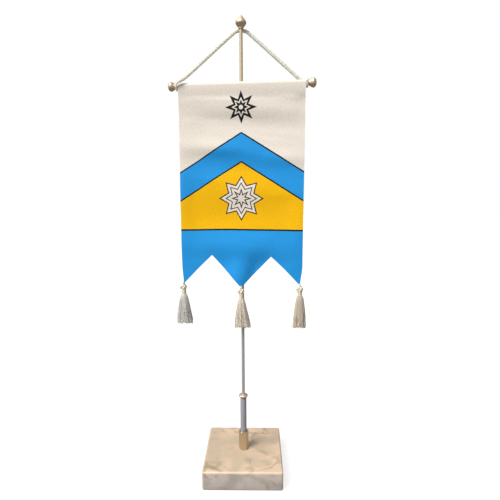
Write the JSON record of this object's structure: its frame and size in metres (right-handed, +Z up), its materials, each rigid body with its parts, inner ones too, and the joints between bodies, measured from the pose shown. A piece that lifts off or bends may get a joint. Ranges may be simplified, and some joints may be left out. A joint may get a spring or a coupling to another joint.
{
  "type": "table pennant on a stand",
  "caption": "Small three-pointed cloth pennant with tassels, hung by a cord from a slim metal pole on a square marble foot, for standing on a table.",
  "frame": {"origin": "middle of the marble foot's underside, on the surface that the stand rests on", "axes": "+Z up along the pole, -Y out of the cloth's face, +X to the viewer's right; the bar is turned 5 degrees about Z, its right end to the front"},
  "size_m": [0.174, 0.1, 0.5676],
  "materials": {
    "marble": "honed",
    "brass": "turned and polished",
    "grey_metal": "satin",
    "rod_metal": "drawn, satin",
    "cloth": "printed woven polyester",
    "cord": "three-strand twisted",
    "yarn": "loose yarn"
  },
  "bodies": {
    "root": {"base": "marble", "socket": "brass", "tube": "grey_metal", "collar": "brass", "rod": "rod_metal", "finial": "brass", "crossbar": "rod_metal", "knob_left": "brass", "knob_right": "brass", "banner": "cloth", "hanging_cord": "cord", "tassel_left": "yarn", "tassel_centre": "yarn", "tassel_right": "yarn"}
  },
  "joints": []
}
